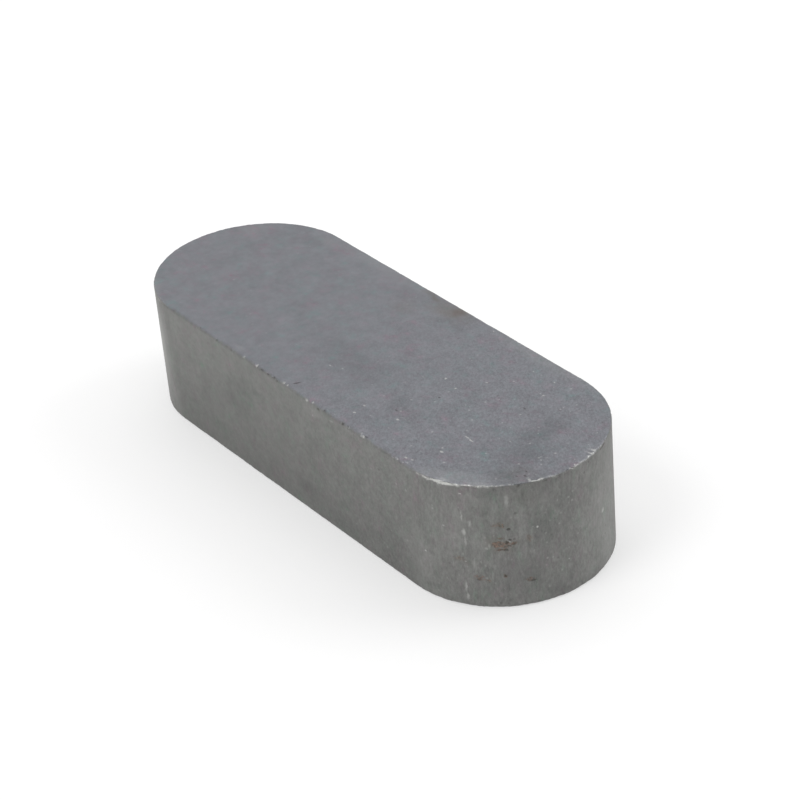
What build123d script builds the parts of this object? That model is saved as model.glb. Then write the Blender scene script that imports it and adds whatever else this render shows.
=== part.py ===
"""Parallel key with both ends round, for locking a hub on a shaft.

A parallel key is one solid bar of drawn steel. Its lower part lies in a slot in the shaft and its upper
part in a slot in the hub, and its two flat flanks carry the torque from one to the other. Both ends are
milled to a full half circle as wide as the bar, so that they fill the ends of a slot cut by an end mill.
The burr round the top and bottom faces is taken off as a small 45 degree edge break.

Frame: the origin is the middle of the seat, the bottom face that lies on the floor of the shaft's slot.
X runs along the key, Y across it, and Z up towards the hub.
"""

import os

from build123d import *

# Driving dimensions, in millimetres.
key_width = 22.0  # between the two flanks
key_height = 14.0  # from the seat to the face under the hub
key_length = 63.0  # over the two round ends
edge_break = 0.25  # leg of the 45 degree break round each flat face

# The key, seen from above, is a bar whose ends are half circles of its own width.
with BuildPart() as parallel_key:
    with BuildSketch(Plane.XY) as outline:
        SlotOverall(key_length, key_width)
    extrude(amount=key_height)

    # The break follows the whole rim of each flat face: both long edges and both half circles.
    flat_faces = parallel_key.faces().filter_by(Axis.Z)
    chamfer(flat_faces.edges(), length=edge_break)

parallel_key.part.label = "parallel_key"

os.makedirs("parts", exist_ok=True)
export_step(parallel_key.part, "parts/parallel_key.step")
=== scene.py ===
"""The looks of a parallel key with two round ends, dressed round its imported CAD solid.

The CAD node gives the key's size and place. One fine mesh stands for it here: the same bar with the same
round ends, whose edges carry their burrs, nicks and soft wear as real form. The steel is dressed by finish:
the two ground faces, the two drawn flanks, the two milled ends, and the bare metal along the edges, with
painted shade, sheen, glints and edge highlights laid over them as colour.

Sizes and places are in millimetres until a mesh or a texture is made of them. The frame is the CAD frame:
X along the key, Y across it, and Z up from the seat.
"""

import logging
import math
from dataclasses import dataclass
from enum import Enum
from typing import ClassVar, NamedTuple

import bpy
import numpy as np
from mathutils import Euler, Matrix, Vector


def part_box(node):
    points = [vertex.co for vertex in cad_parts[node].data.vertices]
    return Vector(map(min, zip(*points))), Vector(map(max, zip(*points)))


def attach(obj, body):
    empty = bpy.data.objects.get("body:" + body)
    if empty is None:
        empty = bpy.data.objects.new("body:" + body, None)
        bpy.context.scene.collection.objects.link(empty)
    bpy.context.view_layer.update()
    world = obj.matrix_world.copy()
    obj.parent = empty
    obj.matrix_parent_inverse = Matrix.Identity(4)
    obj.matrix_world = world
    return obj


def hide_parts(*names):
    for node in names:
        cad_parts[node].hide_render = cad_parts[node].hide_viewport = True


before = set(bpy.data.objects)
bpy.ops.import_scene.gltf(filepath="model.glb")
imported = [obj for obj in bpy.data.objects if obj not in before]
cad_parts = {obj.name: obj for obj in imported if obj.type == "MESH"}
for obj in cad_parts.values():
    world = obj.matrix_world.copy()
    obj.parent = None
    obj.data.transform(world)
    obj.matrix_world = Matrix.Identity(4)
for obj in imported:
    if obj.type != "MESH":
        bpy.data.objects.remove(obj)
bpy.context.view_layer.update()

LOG = logging.getLogger("parallel_key")
MM = 0.001  # metres in a millimetre
KEY_NODE = "parallel_key"
KEY_BODY = "root"

Socket = bpy.types.NodeSocket
Feed = Socket | float | tuple[float, ...]
Colour = tuple[float, float, float]


def smoothstep(value: np.ndarray, low: float, high: float) -> np.ndarray:
    """Rises softly from 0 to 1.

    Args:
        value: The numbers to ease.
        low: Where the rise starts.
        high: Where it ends.

    Returns:
        Numbers from 0 to 1.
    """
    share = np.clip((value - low) / (high - low), 0.0, 1.0)
    return share * share * (3.0 - 2.0 * share)


def bell(value: np.ndarray, middle: np.ndarray, reach: np.ndarray) -> np.ndarray:
    """A soft hump that is 1 in the middle and 0 from its reach outwards.

    Args:
        value: The numbers to test.
        middle: Where the hump stands.
        reach: How far it reaches to each side.

    Returns:
        Numbers from 0 to 1.
    """
    return 1.0 - smoothstep(np.abs(value - middle), 0.0, reach)


def show(name: str, data: bpy.types.ID) -> bpy.types.Object:
    """Adds an object to the scene.

    Args:
        name: Its name.
        data: Its mesh, light or camera.

    Returns:
        The object.
    """
    made = bpy.data.objects.new(name, data)
    bpy.context.scene.collection.objects.link(made)
    return made


# ---------------------------------------------------------------------------------------------------------
# The key's form
# ---------------------------------------------------------------------------------------------------------


@dataclass(frozen=True)
class KeySize:
    """The key's outer size, in millimetres."""

    length: float
    width: float
    height: float

    @classmethod
    def of_node(cls, node: str) -> "KeySize":
        """Reads the size of a CAD node.

        Args:
            node: The node's name.

        Returns:
            Its size.
        """
        low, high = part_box(node)
        length, width, height = (high - low) / MM
        return cls(length, width, height)

    @property
    def radius(self) -> float:
        """Radius of the two round ends."""
        return self.width / 2

    @property
    def straight_half(self) -> float:
        """Half the length of the straight flanks, which is where the axis of a round end stands."""
        return self.length / 2 - self.radius

    @property
    def quarter(self) -> float:
        """Length of a quarter of a round end's circle."""
        return math.pi / 2 * self.radius

    @property
    def perimeter(self) -> float:
        """Length of the whole outline."""
        return 4 * self.straight_half + 4 * self.quarter


@dataclass(frozen=True)
class Outline:
    """The key's outline from above, walked anticlockwise from the tip of its right end, at +X."""

    size: KeySize

    def at(self, walk: np.ndarray) -> tuple[np.ndarray, np.ndarray]:
        """Finds places on the outline.

        Args:
            walk: Distances along the outline.

        Returns:
            The points and the outward normals, two numbers each.
        """
        half, quarter = self.size.straight_half, self.size.quarter
        turn = math.pi / 2
        corners = np.cumsum([0.0, quarter, 2 * half, 2 * quarter, 2 * half, quarter])
        centres = [half, half, -half, -half, half, half]
        angles = [0.0, turn, turn, 3 * turn, 3 * turn, 4 * turn]
        walk = np.mod(walk, self.size.perimeter)
        centre = np.interp(walk, corners, centres)
        angle = np.interp(walk, corners, angles)
        normals = np.stack([np.cos(angle), np.sin(angle)], axis=-1)
        points = normals * self.size.radius
        points[..., 0] += centre
        return points, normals

    def front(self, x: float) -> float:
        """The walk to a place on the front flank, at -Y."""
        return 3 * self.size.quarter + 3 * self.size.straight_half + x

    def back(self, x: float) -> float:
        """The walk to a place on the back flank, at +Y."""
        return self.size.quarter + self.size.straight_half - x

    def right(self, degrees: float) -> float:
        """The walk to a place on the right end, by its angle from +X towards +Y."""
        return (math.radians(degrees) * self.size.radius) % self.size.perimeter

    def left(self, degrees: float) -> float:
        """The walk to a place on the left end, by its angle from -X towards -Y."""
        return 2 * (self.size.quarter + self.size.straight_half) + math.radians(degrees) * self.size.radius

    def on_ends(self, walk: np.ndarray, soft: float) -> np.ndarray:
        """Tells the round ends from the flanks.

        Args:
            walk: Distances along the outline.
            soft: Over what length one fades into the other.

        Returns:
            1 on the round ends, 0 on the flanks.
        """
        points, _ = self.at(walk)
        past = np.abs(points[:, 0]) - self.size.straight_half
        return smoothstep(past, 0.0, soft)


@dataclass(frozen=True)
class Wander:
    """Smooth random lines round the outline, each of which joins up with itself."""

    perimeter: float
    rng: np.random.Generator

    def line(self, walk: np.ndarray, wave: float) -> np.ndarray:
        """Draws one line.

        Args:
            walk: Distances along the outline.
            wave: About how far apart its hills and hollows are.

        Returns:
            Heights from -1 to 1.
        """
        knots = max(4, round(self.perimeter / wave))
        heights = self.rng.uniform(-1.0, 1.0, knots)
        at = np.mod(walk, self.perimeter) / self.perimeter * knots
        low = np.floor(at).astype(int)
        share = smoothstep(at - low, 0.0, 1.0)
        return heights[low % knots] * (1 - share) + heights[(low + 1) % knots] * share


class Rim(Enum):
    """The two edges that run round the key."""

    TOP = "top"
    BOTTOM = "bottom"


@dataclass(frozen=True)
class EdgeStyle:
    """How one kind of edge is broken and worn."""

    leg: float  # how far the break reaches over each side, mm
    uneven: float  # share by which that reach wanders
    roundness: float  # 0 is a flat 45 degree break, 1 is a full round
    bare: float  # how much bare metal shows, which is partly a painted highlight
    bare_half: float  # half the breadth of the bare line, mm
    shadow: float  # how dark the line under the edge is
    shadow_at: float  # how far that line is below mid edge, mm
    shadow_half: float  # half its breadth, mm
    undercut: float  # its depth, mm


@dataclass(frozen=True)
class Nick:
    """One bruise in an edge."""

    walk: float  # place along the outline, mm
    across: float  # place over the edge, mm, negative on the flat face and positive down the wall
    reach: float  # half its length along the edge, mm
    breadth: float  # half its breadth over the edge, mm
    depth: float  # how deep it is, mm, or negative where metal is pushed up
    bare: float = 0.0  # how much bare metal it shows, which is partly a painted highlight
    shadow: float = 0.0  # how dark it is


class Burr(NamedTuple):
    """How an edge's burr changes round the key, with a number for each station."""

    bright: np.ndarray  # a factor on the bare metal and its painted highlight
    low: np.ndarray  # how far the burr hangs over the wall, mm
    dark: np.ndarray  # a factor on the shadow under it


class RimForm(NamedTuple):
    """One edge's form, wear and painted shadow and highlight: a row per line along the edge, a column per
    station.
    """

    inset: np.ndarray  # how far inside the outline, mm
    drop: np.ndarray  # how far below the flat face, mm
    upright: np.ndarray  # 0 on the flat face, 1 on the wall
    bare: np.ndarray
    shadow: np.ndarray


@dataclass
class EdgeWear:
    """Gives the two edges their break, burrs and nicks."""

    outline: Outline
    walk: np.ndarray
    long_edge: EdgeStyle = EdgeStyle(
        leg=0.20,
        uneven=0.15,
        roundness=1.0,
        bare=0.26,
        bare_half=0.24,
        shadow=0.22,
        shadow_at=0.08,
        shadow_half=0.30,
        undercut=0.010,
    )
    end_edge: EdgeStyle = EdgeStyle(
        leg=0.14,
        uneven=0.30,
        roundness=0.35,
        bare=1.0,
        bare_half=0.26,
        shadow=0.90,
        shadow_at=0.32,
        shadow_half=0.16,
        undercut=0.020,
    )
    front_leg: float = 0.36  # how far the upper front edge is rounded over, mm
    turn_length: float = 1.6  # over which a long edge becomes an end edge
    collar: float = 1.4  # how far the worn strip reaches over each side
    # The rows from the flat face to the middle of the edge, in legs.
    steps: tuple[float, ...] = (-2.4, -1.8, -1.4, -1.15, -1.0, -0.75, -0.5, -0.25, 0.0)
    wall_steps: tuple[float, ...] = (0.12, 0.40)  # shares of the way from the last of them to the collar
    # Waves are in millimetres from hill to hill, the slow one first and the quick one after it.
    long_waves: tuple[float, float] = (2.4, 0.55)  # how the long edges wander
    end_waves: tuple[float, float] = (1.1, 0.32)  # how the end edges wander
    quick_share: float = 0.6  # of their quick waves, beside the slow ones
    patch_share: float = 0.8  # the same, for where the lines along the edge come and go
    bare_waves: tuple[float, float] = (1.3, 0.35)
    bare_fade: tuple[float, float] = (-0.9, 0.5)
    least_bare: float = 0.55  # how much of the bare line is left where it fades
    spread: tuple[float, float] = (0.45, 0.35)  # the share by which its breadth changes, and the wave
    shadow_waves: tuple[float, float] = (2.2, 0.4)
    shadow_fade: tuple[float, float] = (-0.7, 0.8)
    sways: tuple[tuple[float, float], ...] = ((0.08, 0.4), (0.05, 1.4))  # how far both sway, and the wave
    # The small nicks that chance strews: how many, and from where to where their measures go.
    strewn: int = 320
    strewn_reach: tuple[float, float] = (0.08, 0.32)
    strewn_depth: tuple[float, float] = (0.01, 0.05)
    strewn_across: float = 0.16  # how far they scatter over the edge, mm
    strewn_breadth: float = 0.6  # of their reach
    strewn_bare: tuple[float, float] = (0.35, 0.4)  # the most, and the share of them that have any
    strewn_shadow: tuple[float, float] = (0.5, 0.5)
    nick_ragged: tuple[float, float] = (0.75, 1.3)
    nick_slope: tuple[float, float] = (0.15, 1.0)  # from the floor of a nick to its rim, in reaches
    nick_lit: tuple[float, float] = (-0.7, 0.5)  # from its dark side to its light one, in reaches
    nick_dark: float = 0.7  # how much of its shadow is gone on the light side
    seed: int = 63

    def row_places(self) -> np.ndarray:
        """The rows over an edge in legs, from the flat face to the wall, without the two collars."""
        half = np.array(self.steps)
        return np.concatenate([half, -half[-2::-1]])

    def profile(
        self, leg: np.ndarray, roundness: np.ndarray, across: np.ndarray
    ) -> tuple[np.ndarray, np.ndarray, np.ndarray]:
        """Works out the edge as it was before it got worn.

        Args:
            leg: How far the break reaches over each side, at each station.
            roundness: How round it is, at each station.
            across: Each point's place over the edge.

        Returns:
            How far each point is inside the outline and below the flat face, and how far it is round the
            edge, from 0 at the flat face to 1 at the wall.
        """
        turn = np.clip((across / leg + 1) / 2, 0.0, 1.0)
        angle = turn * math.pi / 2
        flat = leg * (1 - turn), leg * turn
        curved = leg * (1 - np.sin(angle)), leg * (1 - np.cos(angle))
        beyond = np.clip(-across - leg, 0, None), np.clip(across - leg, 0, None)
        inset, drop = (a * (1 - roundness) + b * roundness + c for a, b, c in zip(flat, curved, beyond))
        return inset, drop, turn

    def form(self, rim: Rim, nicks: list[Nick], burr: Burr) -> RimForm:
        """Works out one edge.

        Args:
            rim: Which edge.
            nicks: The bruises given one by one.
            burr: How the burr changes round the edge.

        Returns:
            The edge's rows.
        """
        rng = np.random.default_rng(self.seed + list(Rim).index(rim))
        wander = Wander(self.outline.size.perimeter, rng)
        walk = self.walk
        ends = self.outline.on_ends(walk, self.turn_length)

        def either(name: str) -> np.ndarray:
            """A style value that turns from the long edges' to the end edges'."""
            return getattr(self.long_edge, name) * (1 - ends) + getattr(self.end_edge, name) * ends

        def patches(waves: tuple[float, float], fade: tuple[float, float]) -> np.ndarray:
            """Where a line along the edge is strong, 1, and where it fades, 0."""
            slow, quick = (wander.line(walk, wave) for wave in waves)
            return smoothstep(slow + self.patch_share * quick, *fade)

        slow, quick = (
            wander.line(walk, long) * (1 - ends) + wander.line(walk, end) * ends
            for long, end in zip(self.long_waves, self.end_waves)
        )
        leg = either("leg")
        if rim is Rim.TOP:
            points, _ = self.outline.at(walk)
            leg = leg + (self.front_leg - leg) * (1 - ends) * (points[:, 1] < 0)
        leg = leg * (1 + either("uneven") * (slow + self.quick_share * quick))

        places = self.row_places()[:, None]
        last = places[-1] * leg
        collar = np.full_like(leg, self.collar)
        lower = [last + share * (collar - last) for share in self.wall_steps]
        across = np.vstack([-collar, places * leg, *lower, collar])
        inset, drop, turn = self.profile(leg, either("roundness"), across)

        broken = self.least_bare + (1 - self.least_bare) * patches(self.bare_waves, self.bare_fade)
        sway = sum(reach * wander.line(walk, wave) for reach, wave in self.sways)
        spread = either("bare_half") * (1 + self.spread[0] * wander.line(walk, self.spread[1]))
        bare = either("bare") * burr.bright * broken * bell(across, sway + burr.low, spread)
        dotted = patches(self.shadow_waves, self.shadow_fade)
        below = either("shadow_at") + sway
        shadow = either("shadow") * burr.dark * dotted * bell(across, below, either("shadow_half"))
        sink = either("undercut") * dotted * bell(across, below, either("shadow_half"))

        for nick in nicks + self.scattered(rng):
            self.bruise(nick, across, sink, bare, shadow, rng)
        angle = turn * math.pi / 2
        inset = np.clip(inset + sink * np.sin(angle), 0.0, None)
        drop = np.clip(drop + sink * np.cos(angle), 0.0, None)
        return RimForm(inset, drop, turn, np.clip(bare, 0, 1), np.clip(shadow, 0, 1))

    def scattered(self, rng: np.random.Generator) -> list[Nick]:
        """Draws small bruises all round an edge.

        Args:
            rng: The source of chance.

        Returns:
            The bruises.
        """
        made = []
        for _ in range(self.strewn):
            walk = rng.uniform(0.0, self.outline.size.perimeter)
            reach = rng.uniform(*self.strewn_reach)
            depth = rng.uniform(*self.strewn_depth)
            across = rng.normal(0.0, self.strewn_across)
            bare, shadow = (
                rng.uniform(0.0, most) * (rng.random() < share)
                for most, share in (self.strewn_bare, self.strewn_shadow)
            )
            made.append(Nick(walk, across, reach, self.strewn_breadth * reach, depth, bare, shadow))
        return made

    def bruise(
        self,
        nick: Nick,
        across: np.ndarray,
        sink: np.ndarray,
        bare: np.ndarray,
        shadow: np.ndarray,
        rng: np.random.Generator,
    ) -> None:
        """Presses one bruise into the edge.

        Args:
            nick: The bruise.
            across: Each point's place over the edge.
            sink: Each point's depth, which is changed.
            bare: Each point's bare metal, which is changed.
            shadow: Each point's darkness, which is changed.
            rng: The source of the bruise's ragged shape.
        """
        perimeter = self.outline.size.perimeter
        along = np.mod(self.walk - nick.walk + perimeter / 2, perimeter) - perimeter / 2
        near = np.flatnonzero(np.abs(along) < 1.6 * nick.reach)
        ragged = rng.uniform(*self.nick_ragged, near.size)
        away = np.hypot(along[near] / nick.reach * ragged, (across[:, near] - nick.across) / nick.breadth)
        hollow = 1.0 - smoothstep(away, *self.nick_slope)
        sink[:, near] += nick.depth * hollow
        # Painted shade and highlight on a bruise: the side that faces up and away is painted dark, and the
        # other side gets bare metal that is partly a painted highlight.
        lit = smoothstep(along[near] / nick.reach, *self.nick_lit)
        dark = nick.shadow * hollow * (1.0 - self.nick_dark * lit)
        bare[:, near] = np.maximum(bare[:, near], nick.bare * hollow * lit)
        shadow[:, near] = np.maximum(shadow[:, near], dark)


@dataclass
class KeyBody:
    """The key as one closed mesh."""

    size: KeySize
    stations: int = 1792  # points round the outline, a multiple of 2 to the power of the face rings
    wall_rows: int = 3  # rows on the wall between the worn strips
    face_rings: tuple[float, ...] = (2.2, 3.6, 5.6)  # insets of the rings inside a flat face, mm
    flute_depth: float = 0.006  # of the cutter's marks on the milled ends, mm
    flute_waves: tuple[float, float] = (0.9, 0.28)
    milled_turn: float = 1.2  # over which the drawn flank becomes the milled end, mm
    bake_gap: float = 1.2  # between the pieces of the flat layout, mm
    patchy: tuple[float, float] = (0.55, 0.45)  # the middle and the swing of a burr that isn't listed
    patch_wave: float = 6.0  # its wave, mm
    far_burr: tuple[float, float] = (0.45, 0.7)  # how bright and dark the upper burr is past the right end
    lower_burr: tuple[float, float] = (0.6, 0.4)  # and the lower one
    # The burr round the right end's upper edge: at an angle from the tip in degrees, how bright it is, how
    # far it hangs over the wall in millimetres, and how dark the line under it is. Its brightness is partly
    # a painted highlight, strongest from -69 to -65 degrees, and the dark line is painted shadow.
    right_burr: tuple[tuple[float, float, float, float], ...] = (
        (-90, 0.00, 0.00, 0.5), (-80, 0.45, 0.16, 0.2), (-76, 1.55, 0.24, 0.0), (-72, 1.20, 0.26, 0.0),
        (-69, 3.00, 0.26, 0.0), (-65, 2.70, 0.25, 0.0), (-61, 0.70, 0.18, 0.2), (-56, 0.66, 0.12, 0.4),
        (-52, 0.84, 0.06, 0.5), (-47, 0.64, 0.03, 0.6), (-43, 0.44, 0.00, 0.7), (-38, 0.66, -0.05, 0.8),
        (-32, 0.34, -0.08, 0.8), (-24, 0.08, -0.08, 0.8), (-20, 1.75, -0.06, 0.7), (-16, 0.36, -0.06, 0.7),
        (-11, 0.60, -0.06, 0.7), (-5, 0.16, 0.00, 0.5), (0, 0.40, 0.00, 0.3), (4, 0.66, 0.00, 0.3),
        (8, 0.30, -0.04, 0.3), (16, 0.56, -0.08, 0.4), (21, 0.28, -0.10, 1.0), (26, 0.00, -0.10, 1.0),
        (34, 0.00, 0.00, 0.0), (90, 0.25, 0.00, 0.5),
    )
    # The larger nicks of the upper edge: the place, by X on the front flank and by the angle from the tip
    # in degrees on the round ends, and then the fields of Nick that follow its walk.
    front_nicks: tuple[tuple[float, ...], ...] = (
        (-19.9, 0.05, 1.10, 0.24, 0.02, 0.0, 0.5), (-14.9, 0.00, 0.34, 0.24, 0.05, 0.0, 0.9),
        (-11.7, 0.10, 0.36, 0.22, 0.05, 0.0, 0.8), (-8.9, 0.15, 0.70, 0.22, 0.03, 0.0, 0.5),
        (-6.9, -0.08, 0.34, 0.32, 0.04, 0.8), (-4.6, -0.06, 0.36, 0.46, 0.09, 0.9),
        (-3.4, 0.05, 0.55, 0.26, 0.06, 0.0, 1.0), (-2.4, 0.08, 0.50, 0.22, 0.05, 0.0, 0.8),
        (-1.4, 0.05, 0.55, 0.26, 0.06, 0.0, 1.0), (-0.8, 0.18, 0.40, 0.22, 0.05, 0.0, 0.9),
        (0.05, -0.16, 0.44, 0.36, 0.08, 0.9), (0.7, -0.16, 0.34, 0.28, 0.05, 0.7),
        (4.1, 0.10, 0.50, 0.38, 0.05, 0.8), (5.1, -0.12, 0.36, 0.30, 0.05, 0.8),
        (6.3, 0.30, 0.46, 0.30, 0.05, 0.0, 1.0), (7.2, 0.00, 0.46, 0.36, 0.06, 0.0, 1.0),
        (8.4, 0.10, 0.50, 0.14, 0.04, 0.0, 0.5), (9.9, 0.25, 0.22, 0.16, 0.06, 0.5),
        (10.3, 0.06, 0.42, 0.34, 0.06, 0.0, 1.0), (11.1, 0.02, 0.36, 0.30, 0.07, 0.6, 0.8),
        (13.4, -0.02, 0.44, 0.38, 0.09, 0.9), (14.0, -0.24, 0.60, 0.20, 0.04, 0.0, 1.0),
        (15.9, -0.20, 0.50, 0.14, 0.04, 0.0, 0.5), (17.3, 0.15, 0.45, 0.16, 0.03, 0.0, 0.7),
        (18.3, 0.05, 0.22, 0.18, 0.05, 0.5), (18.8, -0.10, 0.26, 0.22, 0.06, 0.7),
        (19.7, -0.13, 0.20, 0.20, 0.05, 0.8), (20.1, -0.40, 0.16, 0.16, 0.05, 0.8),
    )
    # The first two on the right end widen the painted highlight on its upper edge.
    right_nicks: tuple[tuple[float, ...], ...] = (
        (-70.5, 0.12, 0.55, 0.15, 0.03, 1.0), (-66.8, 0.12, 0.40, 0.15, 0.03, 1.0),
        (-28.5, 0.05, 0.28, 0.22, 0.10, 0.0, 1.0), (-30.5, -0.02, 0.16, 0.14, 0.07, 0.0, 0.8),
        (-2.4, 0.05, 0.26, 0.20, 0.10, 0.0, 0.9), (-0.6, -0.10, 0.26, 0.18, 0.09, 0.9),
        (1.4, 0.08, 0.20, 0.20, 0.09, 0.0, 0.8), (3.0, -0.16, 0.34, 0.22, 0.10, 1.0),
        (5.4, 0.02, 0.24, 0.14, 0.07, 0.5, 0.6), (10.0, -0.10, 0.35, 0.16, 0.05, 0.4),
        (12.6, -0.14, 0.48, 0.28, 0.06, 0.9), (15.6, -0.18, 0.44, 0.30, 0.05, 0.8),
        (18.6, -0.22, 0.44, 0.28, 0.05, 0.7),
    )
    left_nicks: tuple[tuple[float, ...], ...] = ((74.0, 0.25, 1.10, 0.36, 0.01, 0.32),)
    seed: int = 14

    def __post_init__(self) -> None:
        """Sets the stations out round the outline."""
        self.outline = Outline(self.size)
        self.walk = np.arange(self.stations) * self.size.perimeter / self.stations
        self.wear = EdgeWear(self.outline, self.walk)

    def build(self, name: str) -> bpy.types.Object:
        """Makes the mesh.

        Args:
            name: The piece's name.

        Returns:
            The key, in metres, in the CAD frame.
        """
        rims = {rim: self.wear.form(rim, self.nicks(rim), self.burr(rim)) for rim in Rim}
        rows = self.rows(rims)
        points = [self.placed(inset, z) for inset, z in zip(rows["inset"], rows["z"])]
        marks = {mark: rows[mark].ravel() for mark in ("upright", "bare", "shadow")}
        marks["milled"] = np.tile(self.outline.on_ends(self.walk, self.milled_turn), len(points))
        faces = self.band_faces(len(points))
        first_of = self.stations * (len(points) - 1)
        count = self.stations * len(points)
        for base, level, flip in ((0, self.size.height, True), (first_of, 0.0, False)):
            ring = np.arange(self.stations) + base
            extra, more, count = self.flat_face(ring, level, count, flip)
            points.extend(extra)
            faces.extend(more)
        vertices = np.concatenate(points)
        mesh = bpy.data.meshes.new(name)
        mesh.from_pydata((vertices * MM).tolist(), [], faces)
        if mesh.validate(verbose=True):
            LOG.warning("the mesh had to be mended")
        self.write_marks(mesh, marks)
        self.write_bake_map(mesh, rows)
        mesh.shade_smooth()
        return show(name, mesh)

    def nicks(self, rim: Rim) -> list[Nick]:
        """The larger bruises of an edge, where they are on the key.

        Args:
            rim: Which edge.

        Returns:
            The bruises.
        """
        if rim is Rim.BOTTOM:
            return []
        placed = (
            (self.outline.front, self.front_nicks),
            (self.outline.right, self.right_nicks),
            (self.outline.left, self.left_nicks),
        )
        return [Nick(walk(place), *rest) for walk, rows in placed for place, *rest in rows]

    def burr(self, rim: Rim) -> Burr:
        """Works out how the burr changes round an edge.

        Args:
            rim: Which edge.

        Returns:
            The burr.
        """
        rng = np.random.default_rng(self.seed)
        middle, swing = self.patchy
        patchy = middle + swing * Wander(self.size.perimeter, rng).line(self.walk, self.patch_wave)
        bright, dark = self.far_burr if rim is Rim.TOP else self.lower_burr
        plain = Burr(bright * patchy, np.zeros(self.stations), np.full(self.stations, dark))
        if rim is Rim.BOTTOM:
            return plain
        half_turn = math.pi * self.size.radius
        turn = (np.mod(self.walk + half_turn, self.size.perimeter) - half_turn) / self.size.radius
        on_right = np.abs(turn) < math.pi / 2
        angles, *columns = np.array(self.right_burr).T
        by_hand = (np.interp(np.degrees(turn), angles, column) for column in columns)
        return Burr(*(np.where(on_right, own, other) for own, other in zip(by_hand, plain)))

    def rows(self, rims: dict[Rim, RimForm]) -> dict[str, np.ndarray]:
        """Stacks the rows of the band from the top face down the wall to the bottom face.

        Args:
            rims: The two edges.

        Returns:
            The rows' insets and heights in millimetres, and their marks.
        """
        top, bottom = rims[Rim.TOP], rims[Rim.BOTTOM]
        height, collar = self.size.height, self.wear.collar
        levels = np.linspace(height - collar, collar, self.wall_rows + 2)[1:-1, None]
        still = np.zeros((self.wall_rows, self.stations))
        rows = {
            "inset": (top.inset, still, bottom.inset),
            "z": (height - top.drop, levels + still, bottom.drop),
            "upright": (top.upright, still + 1, bottom.upright),
            "bare": (top.bare, still, bottom.bare),
            "shadow": (top.shadow, still, bottom.shadow),
        }
        rows = {name: np.vstack([upper, wall, lower[::-1]]) for name, (upper, wall, lower) in rows.items()}
        rows["inset"] = rows["inset"] + self.flutes() * (rows["upright"] >= 1)
        return rows

    def flutes(self) -> np.ndarray:
        """Works out the shallow upright marks that the cutter leaves round the ends.

        Returns:
            An inset for each station, in millimetres.
        """
        wander = Wander(self.size.perimeter, np.random.default_rng(self.seed + 1))
        waves = sum(wander.line(self.walk, wave) for wave in self.flute_waves) / len(self.flute_waves)
        return self.flute_depth * (1 + waves) / 2 * self.outline.on_ends(self.walk, self.milled_turn)

    def placed(self, inset: np.ndarray, z: np.ndarray) -> np.ndarray:
        """Sets a row of points in space.

        Args:
            inset: How far each lies inside the outline.
            z: How high each is.

        Returns:
            The points, in millimetres.
        """
        edge, normals = self.outline.at(self.walk)
        inner = edge - normals * inset[:, None]
        return np.column_stack([inner, z])

    def band_faces(self, rows: int) -> list[tuple[int, ...]]:
        """Joins the rows into a closed band of quads that face outwards.

        Args:
            rows: How many rows there are.

        Returns:
            The faces.
        """
        here = np.arange(self.stations)
        after = (here + 1) % self.stations
        faces = []
        for row in range(rows - 1):
            upper, lower = row * self.stations, (row + 1) * self.stations
            quads = np.column_stack([upper + here, lower + here, lower + after, upper + after])
            faces.extend(map(tuple, quads.tolist()))
        return faces

    def flat_face(
        self, ring: np.ndarray, level: float, count: int, up: bool
    ) -> tuple[list[np.ndarray], list[tuple[int, ...]], int]:
        """Closes a flat face with rings that halve their points, and a ladder of quads in the middle.

        Args:
            ring: The vertices of the band's last row.
            level: The face's height, mm.
            count: How many vertices there are so far.
            up: Whether the face looks up.

        Returns:
            The new points, the new faces and the new count of vertices.
        """
        points, faces = [], []
        for step, inset in enumerate(self.face_rings, 1):
            edge, normals = self.outline.at(self.walk[:: 2**step])
            inner = edge - normals * inset
            points.append(np.column_stack([inner, np.full(len(inner), level)]))
            new = np.arange(len(inner)) + count
            count += len(inner)
            for i, (own, following) in enumerate(zip(new, np.roll(new, -1))):
                outer = [ring[(2 * i + k) % len(ring)] for k in range(3)]
                faces.append((outer[0], outer[1], own))
                faces.append((outer[1], following, own))
                faces.append((outer[1], outer[2], following))
            ring = new
        half = len(ring) // 2
        faces.append((ring[0], ring[1], ring[-1]))
        faces.extend((ring[i], ring[i + 1], ring[-i - 1], ring[-i]) for i in range(1, half - 1))
        faces.append((ring[half - 1], ring[half], ring[half + 1]))
        if not up:
            faces = [face[::-1] for face in faces]
        return points, [tuple(int(v) for v in face) for face in faces], count

    def write_marks(self, mesh: bpy.types.Mesh, marks: dict[str, np.ndarray]) -> None:
        """Keeps the wear of each vertex with the mesh, with its painted edge shadow and highlight, for the
        steel to read.

        Args:
            mesh: The key's mesh.
            marks: Each mark's numbers on the band. They are 0 on the rest of the flat faces.
        """
        for name, values in marks.items():
            whole = np.zeros(len(mesh.vertices), np.float32)
            whole[: len(values)] = values
            layer = mesh.attributes.new(name, "FLOAT", "POINT")
            layer.data.foreach_set("value", whole)

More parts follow.
